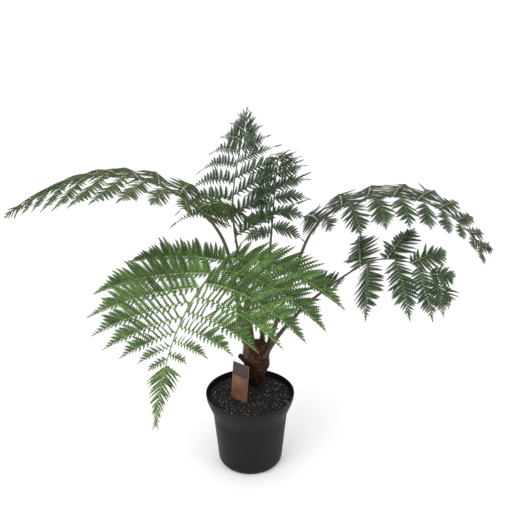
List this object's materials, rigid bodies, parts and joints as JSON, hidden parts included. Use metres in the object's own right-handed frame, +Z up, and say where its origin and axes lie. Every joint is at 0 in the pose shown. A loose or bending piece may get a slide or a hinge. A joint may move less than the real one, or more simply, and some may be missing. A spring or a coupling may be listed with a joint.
{
  "type": "potted tree fern",
  "caption": "Young tree fern in a round nursery pot: short fibrous trunk, slender stipes and arching feathery fronds, with a bare plant label in the compost.",
  "frame": {"origin": "centre of the pot's flat underside", "axes": "+Z up; the viewer of the front stands at -Y, the front frond arches towards -Y and the right-hand fronds towards +X"},
  "size_m": [0.9656, 0.6867, 0.7945],
  "materials": {
    "pot": "satin",
    "soil": "matte",
    "label": "satin",
    "trunk": "matte",
    "stipe": "satin",
    "frond": "satin",
    "frond_shaded": "satin"
  },
  "bodies": {
    "root": {"pot": "pot", "soil": "soil", "label": "label", "trunk": "trunk", "old_frond_stub": "trunk", "stipe_front": "stipe", "frond_front_inner": "frond", "frond_front_tip": "frond", "stipe_left": "stipe", "frond_left_inner": "frond", "frond_left_tip": "frond", "stipe_back": "stipe", "frond_back": "frond_shaded", "stipe_back_right": "stipe", "frond_back_right": "frond_shaded", "stipe_right": "stipe", "frond_right_inner": "frond", "frond_right_tip": "frond", "stipe_low_right": "stipe", "frond_low_right_inner": "frond", "frond_low_right_tip": "frond"}
  },
  "joints": []
}
